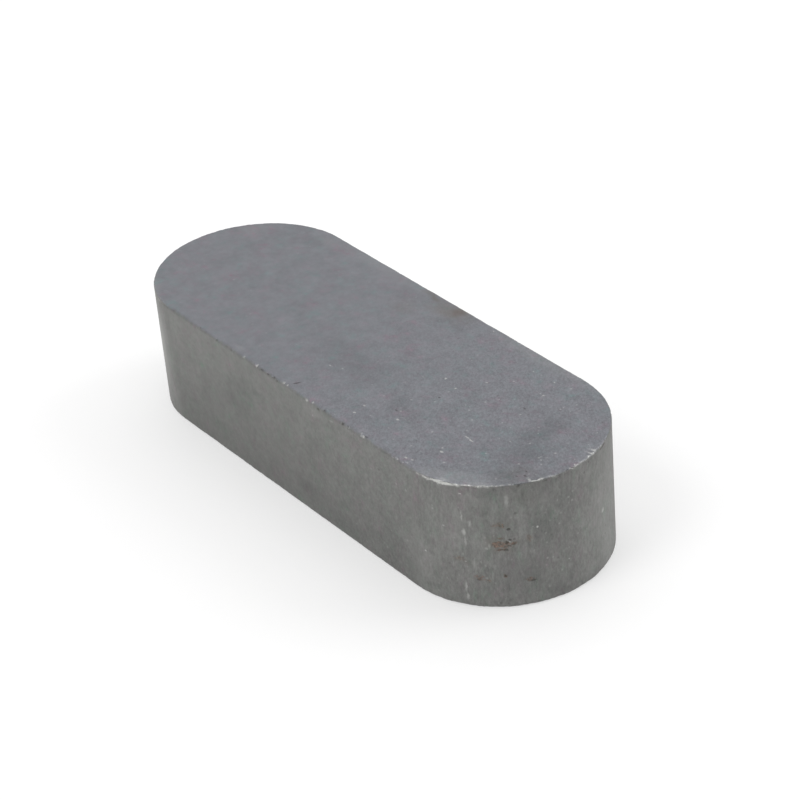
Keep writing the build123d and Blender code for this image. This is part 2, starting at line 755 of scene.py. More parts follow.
    def write_bake_map(self, mesh: bpy.types.Mesh, rows: dict[str, np.ndarray]) -> None:
        """Lays the key out flat for whoever bakes its finish: two half bands, and the two faces under them.

        Args:
            mesh: The key's mesh.
            rows: The band's rows.
        """
        gap, step = self.bake_gap, self.size.perimeter / self.stations
        half_walk = self.size.perimeter / 2
        sheet = half_walk + 2 * gap
        inward, down = (np.diff(rows[name], axis=0) for name in ("inset", "z"))
        across = np.concatenate([[0.0], np.cumsum(np.hypot(inward, down).mean(1))])
        corners = np.empty(len(mesh.loops), np.int64)
        mesh.loops.foreach_get("vertex_index", corners)
        places = np.empty((len(mesh.vertices), 3))
        mesh.vertices.foreach_get("co", places.ravel())
        places /= MM
        band_corners = (len(across) - 1) * self.stations * 4
        row, station = np.divmod(corners[:band_corners], self.stations)
        quad = np.arange(band_corners) // 4 % self.stations
        station = np.where((quad == self.stations - 1) & (station == 0), self.stations, station)
        second = quad >= self.stations // 2
        flat = np.empty((len(corners), 2))
        flat[:band_corners, 0] = station * step - second * half_walk + gap
        flat[:band_corners, 1] = across[row] + gap + second * (across[-1] + gap)
        rest = places[corners[band_corners:]]
        upper = rest[:, 2] > self.size.height / 2
        flat[band_corners:, 0] = rest[:, 0] + self.size.length / 2 + gap
        below = 2 * across[-1] + 3 * gap + self.size.radius
        flat[band_corners:, 1] = rest[:, 1] + below + upper * (self.size.width - 2 * self.wear.collar + gap)
        layer = mesh.uv_layers.new(name="OFBake", do_init=False)
        layer.uv.foreach_set("vector", (flat / sheet).astype(np.float32).ravel())


# ---------------------------------------------------------------------------------------------------------
# Shader nodes
# ---------------------------------------------------------------------------------------------------------


class Graph:
    """Adds nodes to one node tree and wires them."""

    def __init__(self, tree: bpy.types.NodeTree) -> None:
        """Takes the tree that the nodes go into."""
        self.tree = tree

    @classmethod
    def fresh(cls, owner: bpy.types.Material | bpy.types.World) -> "Graph":
        """Empties a node tree, to be filled again.

        Args:
            owner: The material or the room whose tree it is.

        Returns:
            The graph of the tree.
        """
        owner.use_nodes = True
        owner.node_tree.nodes.clear()
        return cls(owner.node_tree)

    def node(self, kind: str, **settings: object) -> bpy.types.Node:
        """Adds a node.

        Args:
            kind: The node's type, without the words that all shader nodes start with.
            settings: Its properties.

        Returns:
            The node.
        """
        made = self.tree.nodes.new("ShaderNode" + kind)
        for name, value in settings.items():
            setattr(made, name, value)
        return made

    def feed(self, socket: Socket, value: Feed) -> None:
        """Links or sets a socket.

        Args:
            socket: The input.
            value: Another node's output, or a plain value.
        """
        if isinstance(value, bpy.types.NodeSocket):
            self.tree.links.new(value, socket)
        else:
            socket.default_value = value

    def math(self, operation: str, *values: Feed) -> Socket:
        """Works with one, two or three numbers.

        Args:
            operation: What is done.
            values: The numbers.

        Returns:
            The result.
        """
        made = self.node("Math", operation=operation)
        for socket, value in zip(made.inputs, values):
            self.feed(socket, value)
        return made.outputs[0]

    def vector(self, operation: str, first: Feed, second: Feed = (0.0, 0.0, 0.0)) -> Socket:
        """Works with two vectors.

        Args:
            operation: What is done.
            first: The first vector.
            second: The second vector.

        Returns:
            The result.
        """
        made = self.node("VectorMath", operation=operation)
        self.feed(made.inputs[0], first)
        self.feed(made.inputs[1], second)
        return made.outputs["Value" if operation in ("LENGTH", "DOT_PRODUCT") else "Vector"]

    def scaled(self, vector: Feed, factor: Feed) -> Socket:
        """Multiplies a vector by a number.

        Args:
            vector: The vector.
            factor: The number.

        Returns:
            The result.
        """
        made = self.node("VectorMath", operation="SCALE")
        self.feed(made.inputs[0], vector)
        self.feed(made.inputs["Scale"], factor)
        return made.outputs["Vector"]

    def soft(self, value: Feed, low: Feed, high: Feed, start: Feed = 0.0, end: Feed = 1.0) -> Socket:
        """Eases a number from one value to another.

        Args:
            value: The number.
            low: Where the change starts.
            high: Where it ends.
            start: The result up to low.
            end: The result from high on.

        Returns:
            The eased number.
        """
        made = self.node("MapRange", interpolation_type="SMOOTHSTEP")
        names = ("Value", "From Min", "From Max", "To Min", "To Max")
        for name, given in zip(names, (value, low, high, start, end)):
            self.feed(made.inputs[name], given)
        return made.outputs["Result"]

    def between(self, share: Feed, low: Feed, high: Feed) -> Socket:
        """Mixes two numbers.

        Args:
            share: How much of the second.
            low: The first number.
            high: The second number.

        Returns:
            The mixed number.
        """
        made = self.node("Mix", data_type="FLOAT")
        for index, value in ((0, share), (2, low), (3, high)):
            self.feed(made.inputs[index], value)
        return made.outputs[0]

    def tinted(self, share: Feed, low: Feed, high: Feed, way: str = "MIX") -> Socket:
        """Mixes two colours.

        Args:
            share: How much of the second.
            low: The first colour.
            high: The second colour.
            way: How they mix.

        Returns:
            The mixed colour.
        """
        made = self.node("Mix", data_type="RGBA", blend_type=way)
        for index, value in ((0, share), (6, low), (7, high)):
            self.feed(made.inputs[index], value if isinstance(value, (Socket, float)) else (*value, 1.0))
        return made.outputs[2]

    def parts(self, vector: Feed) -> dict[str, Socket]:
        """Takes a vector apart.

        Args:
            vector: The vector.

        Returns:
            Its X, Y and Z.
        """
        made = self.node("SeparateXYZ")
        self.feed(made.inputs[0], vector)
        return {name: made.outputs[name] for name in "XYZ"}

    def attribute(self, name: str) -> Socket:
        """A number kept with the mesh."""
        return self.node("Attribute", attribute_name=name).outputs["Fac"]

    def end(self, kind: str, surface: Socket) -> None:
        """Gives the finished shader to the output of a Material or a World."""
        self.feed(self.node("Output" + kind).inputs["Surface"], surface)


class Port(NamedTuple):
    """One named input or output of a node group."""

    name: str
    kind: str
    value: Feed | None = None


class Effect:
    """A shader node group that is built once, and placed in a material with its own values."""

    name: ClassVar[str]
    takes: ClassVar[tuple[Port, ...]]
    gives: ClassVar[tuple[Port, ...]]

    @classmethod
    def tree(cls) -> bpy.types.NodeTree:
        """Builds the group, or finds it if it is built.

        Returns:
            The group.
        """
        found = bpy.data.node_groups.get(cls.name)
        if found:
            return found
        tree = bpy.data.node_groups.new(cls.name, "ShaderNodeTree")
        for way, ports in (("INPUT", cls.takes), ("OUTPUT", cls.gives)):
            for port in ports:
                kind = "NodeSocket" + port.kind
                socket = tree.interface.new_socket(port.name, in_out=way, socket_type=kind)
                if port.value is not None:
                    socket.default_value = port.value
        given = tree.nodes.new("NodeGroupInput")
        result = tree.nodes.new("NodeGroupOutput")
        graph = Graph(tree)
        made = cls.wire(graph, {port.name: given.outputs[port.name] for port in cls.takes})
        for name, socket in made.items():
            graph.feed(result.inputs[name], socket)
        return tree

    @classmethod
    def wire(cls, graph: Graph, given: dict[str, Socket]) -> dict[str, Socket]:
        """Fills the group with nodes.

        Args:
            graph: The group's tree.
            given: Its inputs by name.

        Returns:
            Its outputs by name.
        """
        raise NotImplementedError

    @classmethod
    def place(cls, graph: Graph, **values: Feed) -> dict[str, Socket]:
        """Adds the group to a material.

        Args:
            graph: The material's tree.
            values: What its inputs get, by name.

        Returns:
            Its outputs by name.
        """
        made = graph.node("Group", node_tree=cls.tree())
        for name, value in values.items():
            graph.feed(made.inputs[name.replace("_", " ").capitalize()], value)
        return {port.name: made.outputs[port.name] for port in cls.gives}


class Cloud(Effect):
    """Soft change over the surface: fine grain when small, stains when large, streaks when long."""

    name = "steel_cloud"
    takes = (
        Port("Position", "Vector"),
        Port("Size", "Vector", (1.0, 1.0, 1.0)),
        Port("Detail", "Float", 3.0),
        Port("Fineness", "Float", 0.6),
    )
    gives = (Port("Shade", "Float"), Port("Hue", "Float"), Port("Gloss", "Float"))
    spread: ClassVar[float] = 4.0  # brings the noise to about -1 to 1

    @classmethod
    def wire(cls, graph: Graph, given: dict[str, Socket]) -> dict[str, Socket]:
        """Gives three changes that go their own ways, each from about -1 to 1.

        Args:
            graph: The group's tree.
            given: Its inputs by name.

        Returns:
            Its outputs by name.
        """
        noise = graph.node("TexNoise", noise_dimensions="3D")
        graph.feed(noise.inputs["Vector"], graph.vector("DIVIDE", given["Position"], given["Size"]))
        graph.feed(noise.inputs["Detail"], given["Detail"])
        graph.feed(noise.inputs["Roughness"], given["Fineness"])
        noise.inputs["Scale"].default_value = 1.0
        middle = graph.vector("SUBTRACT", noise.outputs["Color"], (0.5, 0.5, 0.5))
        return dict(zip(("Shade", "Hue", "Gloss"), graph.parts(graph.scaled(middle, cls.spread)).values()))


class Speckle(Effect):
    """Small round specks, strewn at random."""

    name = "speckle"
    takes = (
        Port("Position", "Vector"),
        Port("Cell", "Float", 1.0),
        Port("Radius", "Float", 0.1),
        Port("Share", "Float", 0.1),
    )
    gives = (Port("Mask", "Float"),)
    sizes: ClassVar[tuple[float, float]] = (0.5, 1.3)  # the least and the largest, in radii
    strengths: ClassVar[tuple[float, float]] = (0.35, 1.0)
    core: ClassVar[float] = 0.35  # the share of a speck's size that is at full strength

    @classmethod
    def wire(cls, graph: Graph, given: dict[str, Socket]) -> dict[str, Socket]:
        """Keeps a share of a cell pattern's middles, each as a speck of its own size and strength.

        Args:
            graph: The group's tree.
            given: Its inputs by name.

        Returns:
            Its outputs by name.
        """
        cells = graph.node("TexVoronoi", voronoi_dimensions="3D", feature="F1")
        density = graph.math("DIVIDE", 1.0, given["Cell"])
        graph.feed(cells.inputs["Vector"], graph.scaled(given["Position"], density))
        cells.inputs["Scale"].default_value = 1.0
        chance = graph.parts(cells.outputs["Color"])
        kept = graph.math("LESS_THAN", chance["X"], given["Share"])
        reach = graph.math("MULTIPLY", given["Radius"], graph.between(chance["Y"], *cls.sizes))
        away = graph.math("MULTIPLY", cells.outputs["Distance"], given["Cell"])
        speck = graph.soft(away, graph.math("MULTIPLY", reach, cls.core), reach, 1.0, 0.0)
        strength = graph.between(chance["Z"], *cls.strengths)
        return {"Mask": graph.math("MULTIPLY", graph.math("MULTIPLY", kept, speck), strength)}


class Blemish(Effect):
    """One oval mark at a place of its own, added to the marks before it.

    The marks before it swell its position by next to nothing. That makes the marks wait for each other, so
    that a long chain of them never has many unfinished values at once.
    """

    name = "blemish"
    swell: ClassVar[float] = 1e-6
    takes = (
        Port("Before", "Float", 0.0),
        Port("Position", "Vector"),
        Port("Centre", "Vector"),
        Port("Facing", "Vector"),
        Port("Half size", "Vector", (1.0, 1.0, 1.0)),
        Port("Strength", "Float", 1.0),
        Port("Core", "Float", 0.35),
    )
    gives = (Port("Mask", "Float"),)

    @classmethod
    def wire(cls, graph: Graph, given: dict[str, Socket]) -> dict[str, Socket]:
        """Measures how far a point is from the mark's centre, in half sizes of the mark.

        Args:
            graph: The group's tree.
            given: Its inputs by name.

        Returns:
            Its outputs by name.
        """
        swell = graph.math("MULTIPLY_ADD", given["Before"], cls.swell, 1.0)
        own = graph.node("Mapping", vector_type="TEXTURE")
        graph.feed(own.inputs["Vector"], graph.scaled(given["Position"], swell))
        graph.feed(own.inputs["Location"], given["Centre"])
        graph.feed(own.inputs["Rotation"], given["Facing"])
        graph.feed(own.inputs["Scale"], given["Half size"])
        mask = graph.soft(graph.vector("LENGTH", own.outputs[0]), given["Core"], 1.0, 1.0, 0.0)
        mask = graph.math("MULTIPLY", mask, given["Strength"])
        return {"Mask": graph.math("MAXIMUM", given["Before"], mask)}


class RustBloom(Effect):
    """Breaks a soft patch up into crusts of rust."""

    name = "rust_bloom"
    takes = (Port("Patch", "Float"), Port("Position", "Vector"), Port("Crust", "Float", 0.3))
    gives = (Port("Cover", "Float"), Port("Pits", "Float"), Port("Tone", "Float"))
    break_up: ClassVar[float] = 0.80  # how much of the patch the crusts leave open
    # From where to where each output rises: first over the crusts, and then over the patch.
    cover: ClassVar[tuple[tuple[float, float], ...]] = ((0.1, 0.9), (0.0, 0.3))
    pits: ClassVar[tuple[tuple[float, float], ...]] = ((0.45, 0.80), (0.3, 0.9))
    tone: ClassVar[tuple[float, float]] = (-0.6, 0.6)

    @classmethod
    def wire(cls, graph: Graph, given: dict[str, Socket]) -> dict[str, Socket]:
        """Gives the film of rust, the dark pits in it, and the film's change of tone.

        Args:
            graph: The group's tree.
            given: Its inputs by name.

        Returns:
            Its outputs by name.
        """
        crust = graph.node("CombineXYZ")
        for socket in crust.inputs:
            graph.feed(socket, given["Crust"])
        position, patch = given["Position"], given["Patch"]
        film = Cloud.place(graph, position=position, size=crust.outputs[0], detail=2.0, fineness=0.8)
        ragged = graph.math("MULTIPLY_ADD", film["Shade"], cls.break_up, patch)
        held, pits = (
            graph.math("MULTIPLY", graph.soft(crusts, *over_crusts), graph.soft(patch, *over_patch))
            for crusts, (over_crusts, over_patch) in ((ragged, cls.cover), (film["Gloss"], cls.pits))
        )
        return {"Cover": held, "Pits": pits, "Tone": graph.soft(film["Hue"], *cls.tone)}


# ---------------------------------------------------------------------------------------------------------
# Finishes
# ---------------------------------------------------------------------------------------------------------


class Coat(NamedTuple):
    """What the surface is made of, as sockets."""

    colour: Feed
    roughness: Feed
    metal: Feed
    height: Feed  # mm

    def under(self, graph: Graph, upper: "Coat", mask: Feed) -> "Coat":
        """Lays another coat over this one.

        Args:
            graph: The material's tree.
            upper: The other coat.
            mask: Where it lies.

        Returns:
            The two as one coat.
        """
        return Coat(
            graph.tinted(mask, self.colour, upper.colour),
            graph.between(mask, self.roughness, upper.roughness),
            graph.between(mask, self.metal, upper.metal),
            graph.between(mask, self.height, upper.height),
        )


@dataclass(frozen=True)
class Layer:
    """What a kind of mark does to the steel below it."""

    colour: Colour
    share: float = 1.0  # how much of that colour it has, and the rest from below
    roughness: float | None = None  # its own, or else that from below
    metal: float | None = None  # its own, or else that from below
    rougher: float = 0.0
    rise: float = 0.0  # how far it stands up, mm

    def over(self, graph: Graph, coat: Coat, mask: Feed, colour: Feed | None = None) -> Coat:
        """Lays itself over a coat.

        Args:
            graph: The material's tree.
            coat: The coat below.
            mask: Where the layer lies.
            colour: Its colour, where that changes from place to place.

        Returns:
            The two as one coat.
        """
        colour = self.colour if colour is None else colour
        roughness = coat.roughness if self.roughness is None else self.roughness
        upper = Coat(
            graph.tinted(self.share, coat.colour, colour) if self.share < 1 else colour,
            graph.math("ADD", roughness, self.rougher) if self.rougher else roughness,
            coat.metal if self.metal is None else self.metal,
            graph.math("ADD", coat.height, self.rise) if self.rise else coat.height,
        )
        return coat.under(graph, upper, mask)


@dataclass(frozen=True)
class Specks:
    """One kind of small specks, strewn all over the key."""

    cell: float  # about how far apart, if all were there, mm
    radius: float  # mm
    share: float  # how many are there

    def strew(self, graph: Graph, position: Feed) -> Socket:
        """Gives their mask."""
        sizes = {"cell": self.cell, "radius": self.radius, "share": self.share}
        return Speckle.place(graph, position=position, **sizes)["Mask"]


@dataclass(frozen=True)
class SteelFinish:
    """One way that the steel was worked, and what it left on the surface."""

    colour: Colour
    swing: Colour  # how far the colour swings one way and the other, in small patches
    roughness: float
    stain_size: tuple[float, float, float]  # mm
    stain_shade: float
    grain_size: tuple[float, float, float]  # mm
    grain_shade: float
    grain_depth: float  # mm
    gloss_change: float
    painted_height_shade: tuple[float, float] = (1.0, 1.0)  # painted shade and sheen by height: how light it is at the seat, and at the upper edge
    metal: float = 0.9
    stain_detail: float = 3.0
    grain_turn: float = 0.0  # degrees from X towards -Y, of the grain's long way
    hue_gain: ClassVar[float] = 1.8  # keeps most of the surface even, and lets the patches stand out
    grain_hue: ClassVar[float] = 0.35  # how much the grain's hue adds to the stains'
    painted_height_span: ClassVar[tuple[float, float]] = (0.5, 13.5)  # the heights between which the painted shade and sheen change, mm

    def coat(self, graph: Graph, position: Feed, coarse: Feed) -> Coat:
        """Makes the finish, with its painted shade and sheen by height.

        Args:
            graph: The material's tree.
            position: Where on the key, mm.
            coarse: How strong the grain is.

        Returns:
            Its coat.
        """
        stain = Cloud.place(
            graph, position=position, size=self.stain_size, detail=self.stain_detail, fineness=1.0
        )
        turn = graph.node("Mapping", vector_type="POINT")
        graph.feed(turn.inputs["Vector"], position)
        turn.inputs["Rotation"].default_value = (0.0, 0.0, math.radians(self.grain_turn))
        turned = turn.outputs[0]
        grain = Cloud.place(graph, position=turned, size=self.grain_size, detail=2.0, fineness=0.9)
        hue = graph.math("ADD", stain["Hue"], graph.math("MULTIPLY", grain["Hue"], self.grain_hue))
        swung = graph.math("MULTIPLY", hue, graph.math("ABSOLUTE", hue))
        swung = graph.math("MULTIPLY", swung, self.hue_gain)
        base = graph.vector("ADD", self.colour, graph.scaled(self.swing, swung))
        slow = graph.math("MULTIPLY_ADD", stain["Shade"], self.stain_shade, 1.0)
        quick = graph.math("MULTIPLY", coarse, self.grain_shade)
        shade = graph.math("MULTIPLY_ADD", grain["Shade"], quick, slow)
        rough = graph.math("MULTIPLY_ADD", stain["Gloss"], self.gloss_change, self.roughness)
        # Painted shade and sheen: the finish is made lighter or darker from the seat up to the upper edge.
        painted_height_shade = graph.soft(graph.parts(position)["Z"], *self.painted_height_span, *self.painted_height_shade)
        shade = graph.math("MULTIPLY", shade, painted_height_shade)
        height = graph.math("MULTIPLY", grain["Shade"], self.grain_depth)
        return Coat(graph.scaled(base, shade), rough, self.metal, height)


GROUND = SteelFinish(
    colour=(0.2119, 0.2168, 0.2362),
    swing=(0.0130, -0.0100, -0.0035),
    roughness=0.50,
    stain_size=(2.4, 2.4, 2.4),
    stain_shade=0.097,
    grain_size=(0.34, 0.24, 0.24),
    grain_shade=0.24,
    grain_depth=0.003,
    gloss_change=0.03,
    stain_detail=2.0,
    grain_turn=35.0,
)
DRAWN = SteelFinish(
    colour=(0.1853, 0.1872, 0.1795),
    swing=(0.0095, -0.0080, 0.0025),
    roughness=0.50,
    stain_size=(2.4, 2.4, 2.4),
    stain_shade=0.14,
    grain_size=(0.32, 0.32, 0.45),
    grain_shade=0.17,
    grain_depth=0.003,
    gloss_change=0.04,
    # painted shade and sheen: a little darker at the seat, and lighter at the upper edge
    painted_height_shade=(0.99, 1.16),
)
MILLED = SteelFinish(
    colour=(0.2176, 0.2187, 0.2110),
    swing=(0.0100, -0.0085, 0.0030),
    roughness=0.60,
    stain_size=(1.8, 1.8, 3.6),
    stain_shade=0.145,
    grain_size=(0.27, 0.27, 0.60),
    grain_shade=0.185,
    grain_depth=0.004,
    gloss_change=0.05,
    # painted sheen: lighter at the seat than at the upper edge
    painted_height_shade=(1.09, 1.03),
)

# Bright bare steel, which is also the colour of the painted glints and of the painted highlight on the
# edges.
BARE_AND_GLINT: Colour = (0.525, 0.53, 0.51)
# Near black: soot in dents and rust pits, and the painted shadow under the edges.
SOOT_AND_SHADE: Colour = (0.045, 0.042, 0.035)
DARK_RUST: Colour = (0.120, 0.095, 0.070)
# The dull stains, which also carry painted shade.
DULL = Layer((0.034, 0.044, 0.043), share=0.42)
DENT = Layer(SOOT_AND_SHADE, share=0.62, rougher=0.1, rise=-0.012)
GLINT = Layer(BARE_AND_GLINT, share=0.66, roughness=0.40)
EDGE_SHADOW = Layer(SOOT_AND_SHADE, share=0.6)
# Bare metal along the edges, which is partly a painted highlight.
EDGE_BARE = Layer(BARE_AND_GLINT, roughness=0.34, metal=1.0)
OLD_RUST = Layer((0.152, 0.124, 0.090), share=0.58, roughness=0.6, metal=0.7)
RUST = Layer((0.345, 0.208, 0.150), share=0.60, roughness=0.72, metal=0.35, rise=0.006)
RUST_PIT = Layer(SOOT_AND_SHADE, roughness=0.85, metal=0.2, rise=-0.01)

# Strewn specks: dark pits, and bright sparks and flecks, which are painted glints.
PITTING = Specks(cell=0.8, radius=0.17, share=0.22)
SPARKS = Specks(cell=0.50, radius=0.15, share=0.24)
FLECKS = Specks(cell=1.3, radius=0.17, share=0.16)


class Face(Enum):
    """The surfaces that a mark can lie on."""

    TOP = "top"
    FRONT = "front"
    BACK = "back"
    RIGHT = "right end"
    LEFT = "left end"
    BOTTOM = "bottom"


@dataclass(frozen=True)
class Spot:
    """A mark's place.

    On the top and bottom, along is X and up is Y. On the flanks, along is X and up is Z. On a round end,
    along is the angle in degrees from the end's tip, anticlockwise from above, and up is Z.
    """

    face: Face
    along: float
    up: float
    half_length: float  # along X, or round the end
    half_width: float  # along Y, or up
    strength: float = 1.0
    turn: float = 0.0  # degrees in the face

    def place(self, size: KeySize) -> tuple[Vector, Euler]:
        """Works out where the mark is.

        Args:
            size: The key's size.

        Returns:
            Its centre in millimetres, and how it is turned: X along it, Y up it, Z out of the face.
        """
        if self.face in (Face.TOP, Face.BOTTOM):
            level = size.height if self.face is Face.TOP else 0.0
            centre, stand = Vector((self.along, self.up, level)), Matrix.Identity(3)
        else:
            angle, middle = {
                Face.FRONT: (-90.0, self.along),
                Face.BACK: (90.0, self.along),
                Face.RIGHT: (self.along, size.straight_half),
                Face.LEFT: (180.0 + self.along, -size.straight_half),
            }[self.face]
            out = math.radians(angle)
            centre = Vector((middle + size.radius * math.cos(out), size.radius * math.sin(out), self.up))
            stand = Matrix.Rotation(out + math.pi / 2, 3, "Z") @ Matrix.Rotation(math.pi / 2, 3, "X")
        return centre, (stand @ Matrix.Rotation(math.radians(self.turn), 3, "Z")).to_euler("XYZ")


def spots(face: Face, *rows: tuple[float, ...]) -> tuple[Spot, ...]:
    """Lists marks on one face.

    Args:
        face: The face.
        rows: For each mark, the fields of Spot that follow its face.

    Returns:
        The marks.
    """
    return tuple(Spot(face, *row) for row in rows)


@dataclass
class KeySteel:
    """The steel of the key, with everything that lies on it."""

    size: KeySize
    ragged: float = 0.07  # by how much the outlines of small marks wander, mm
    ragged_size: float = 0.30  # over what length they do, mm
    drift: float = 0.7  # by how much the outlines of stains and painted shade wander, mm
    drift_size: float = 2.2  # over what length they do, mm
    drift_depth: float = 4.0  # how far into the key the ovals of stains and painted shade reach, mm
    coarser: tuple[float, float] = (-12.0, 20.0)  # from where to where along X the grain gets coarser, mm
    coarse: tuple[float, float] = (0.16, 1.0)  # how coarse it is before and after
    # A rise is from where to where a mark of the mesh, once broken up, turns from nothing to full strength.
    grit_size: tuple[float, float, float] = (0.16, 0.16, 0.16)  # breaks up the lines along the edges, mm
    grit: float = 0.6  # by what share
    shadow_rise: tuple[float, float] = (0.08, 0.90)
    bare_rise: tuple[float, float] = (0.04, 0.90)
    fringe_size: tuple[float, float, float] = (0.42, 0.42, 0.42)  # breaks up the change of finish over them
    fringe: float = 0.26  # by what share of that change
    fringe_rise: tuple[float, float] = (0.10, 0.90)
    crust_size: float = 0.24  # of the crusts of rust, mm
    rust_pits: float = 0.85  # how strong the pits in the rust are
    pitting: float = 0.45  # how strong the bare steel's pits are where the grain is coarse
    sparkling: tuple[float, float] = (0.6, 1.0)  # how coarse the grain is where sparks start and peak
    sparks: tuple[float, float] = (0.10, 0.52)  # how strong they are there
    flecks: tuple[float, float] = (0.2, 0.6)
    wall_sparks: float = 0.6  # how strong both are on the wall, beside the flat faces
    patch_core: float = 0.0  # the share of the size of stains and painted shade that is at full strength
    scuff_and_sheen_core: float = 0.1  # the same, of scuffs and painted sheen

    # Painted glints: small bright marks that stand in for the light that tiny dents catch.
    glints: tuple[Spot, ...] = (
        *spots(
            Face.TOP,
            (10.87, 1.27, 0.18, 0.15), (13.02, 0.83, 0.19, 0.16), (13.51, -6.72, 0.22, 0.17),
            (20.88, -7.10, 0.26, 0.20), (20.44, -6.64, 0.16, 0.16, 0.7), (18.96, 8.54, 0.18, 0.15),
            (20.03, 6.22, 0.15, 0.15, 0.9), (7.19, 10.4, 0.18, 0.12, 0.8), (19.36, -10.17, 0.24, 0.16, 0.9),
            (20.11, -10.02, 0.20, 0.15, 0.8), (9.58, -9.00, 0.22, 0.16, 0.9),
            (9.25, -7.54, 0.17, 0.15, 0.7), (2.14, -5.01, 0.16, 0.14, 0.5), (0.83, -5.54, 0.22, 0.14, 0.6),
            (15.95, 8.37, 0.16, 0.14, 0.6), (14.30, 3.73, 0.24, 0.13, 0.7),
            (20.61, -3.80, 0.36, 0.11, 0.9, 0.0), (21.31, -3.88, 0.50, 0.13, 1.0, -8.0),
        ),
        *spots(
            Face.RIGHT,
            (-57.9, 12.96, 0.17, 0.12, 0.8), (-20.6, 8.86, 0.18, 0.15, 1.0), (-80.8, 5.06, 0.16, 0.16, 1.0),
            (-68.1, 8.87, 0.20, 0.13, 0.7), (-4.0, 3.97, 0.17, 0.13, 0.6), (-57.5, 5.2, 0.20, 0.12, 0.5),
        ),
    )
    # Rubbed places, most of them upright scratches on the near end. The large faint marks on the right end
    # are painted sheen, lighter towards its sides, and the large one on the left end is a painted
    # highlight.
    scuffs_and_painted_sheen: tuple[Spot, ...] = (
        *spots(
            Face.RIGHT,
            (-58.0, 10.4, 0.13, 0.95, 0.60), (-54.0, 9.6, 0.26, 0.52, 0.52), (-61.0, 9.0, 1.6, 5.0, 0.11),
            (-57.2, 8.6, 0.34, 0.64, 0.78), (-56.8, 7.6, 0.17, 1.10, 0.50), (-53.0, 5.4, 0.10, 1.3, 0.24),
            (-59.5, 5.6, 0.10, 0.9, 0.22), (-44.0, 3.6, 0.10, 1.0, 0.20), (-58.4, 6.0, 0.12, 0.30, 0.28),
            (-64.0, 4.6, 0.10, 0.9, 0.20), (-58.0, 2.3, 0.20, 0.90, 0.66), (-57.4, 1.1, 0.20, 0.60, 0.60),
            (-35.2, 12.35, 0.28, 1.20, 0.42), (-28.5, 9.8, 0.55, 2.6, 0.12),
            (-46.4, 6.92, 0.28, 0.26, 0.40), (-44.8, 7.20, 0.20, 0.48, 0.40),
            (-34.8, 7.62, 0.12, 0.16, 0.70), (-29.2, 8.6, 0.30, 1.6, 0.14), (-23.6, 8.0, 0.26, 1.3, 0.16),
            (-42.0, 10.8, 0.40, 2.2, 0.10), (-65.0, 7.4, 0.35, 2.8, 0.12), (-73.0, 9.2, 0.50, 3.2, 0.10),
            (6.0, 7.0, 0.50, 4.0, 0.08), (-86.0, 4.0, 3.4, 6.5, 0.12), (28.0, 2.0, 2.6, 5.0, 0.26),
            (-49.4, 5.3, 0.12, 0.34, 0.30), (-47.2, 4.9, 0.16, 0.20, 0.30), (-52.2, 4.5, 0.12, 0.30, 0.26),
            (-43.0, 4.9, 0.20, 0.55, 0.22), (-13.2, 4.9, 0.14, 0.22, 0.30), (-61.5, 9.4, 0.20, 0.30, 0.26),
            (23.0, 6.7, 0.40, 0.45, 0.85), (21.5, 8.0, 0.60, 5.0, 0.16), (22.0, 6.5, 4.6, 10.0, 0.17),
            (-70.0, 8.0, 3.6, 7.5, 0.08), (-12.0, 4.6, 0.5, 0.5, 0.16), (-45.0, 5.2, 0.9, 0.6, 0.12),
            (-50.5, 7.8, 1.1, 2.6, 0.09), (14.0, 1.6, 3.4, 1.5, 0.12), (-54.0, 12.6, 2.4, 0.8, 0.09),
        ),
        *spots(Face.LEFT, (62.0, 8.0, 5.5, 9.5, 0.42)),
        *spots(
            Face.FRONT,
            (5.1, 12.5, 0.22, 0.30, 0.40), (8.3, 13.3, 0.50, 0.16, 0.30), (5.8, 13.0, 3.0, 1.0, 0.12),
        ),
        *spots(
            Face.TOP,
            (-8.6, -10.2, 1.4, 0.5, 0.12), (-12.0, 10.9, 15.0, 2.2, 0.13), (-20.5, 9.6, 3.0, 1.2, 0.10),
            (-28.8, 5.6, 2.4, 3.2, 0.10), (15.0, 10.9, 12.0, 2.2, 0.18), (24.6, -9.0, 6.0, 1.5, 0.16, 35.0),
            (27.3, -8.1, 2.2, 0.5, 0.28, 40.0), (24.7, -9.85, 1.1, 0.42, 0.44, 23.0),
        ),
    )
    # Small dents that stay dark.
    bruises: tuple[Spot, ...] = (
        *spots(
            Face.TOP,
            (13.23, -1.33, 0.20, 0.18, 0.9), (12.16, -5.81, 0.30, 0.14, 0.8),
            (20.55, 3.39, 0.32, 0.14, 0.7), (27.64, 7.18, 0.15, 0.14, 0.6),
            (1.20, -9.91, 0.55, 0.18, 1.0, 68.0), (29.0, -3.4, 0.22, 0.14, 0.8),
            (29.5, -4.0, 0.26, 0.14, 0.9), (29.0, -4.6, 0.20, 0.13, 0.6),
            (10.9, -4.5, 0.45, 0.12, 0.35, -35.0),
        ),
        *spots(
            Face.RIGHT,
            (-35.1, 9.07, 0.27, 0.20, 0.85, 20.0), (-39.4, 9.58, 0.13, 0.22, 0.30),
            (-36.2, 7.57, 0.24, 0.19, 1.0, 25.0), (-34.5, 7.86, 0.20, 0.14, 0.8),
            (-39.7, 7.42, 0.20, 0.16, 0.35), (-35.0, 7.17, 0.28, 0.12, 0.6, 8.0),
            (-32.9, 7.36, 0.34, 0.11, 0.6, 14.0), (-36.7, 6.72, 0.34, 0.19, 0.75),
            (-39.4, 6.76, 0.50, 0.11, 0.7, 8.0), (-51.4, 3.22, 0.24, 0.19, 0.62),
            (-37.9, 3.70, 0.20, 0.15, 0.7), (-24.0, 2.84, 0.42, 0.16, 0.65, -12.0),
            (-31.0, 10.80, 0.26, 0.22, 0.40),
        ),
        *spots(Face.FRONT, (15.8, 11.3, 0.22, 0.14, 0.5)),
    )
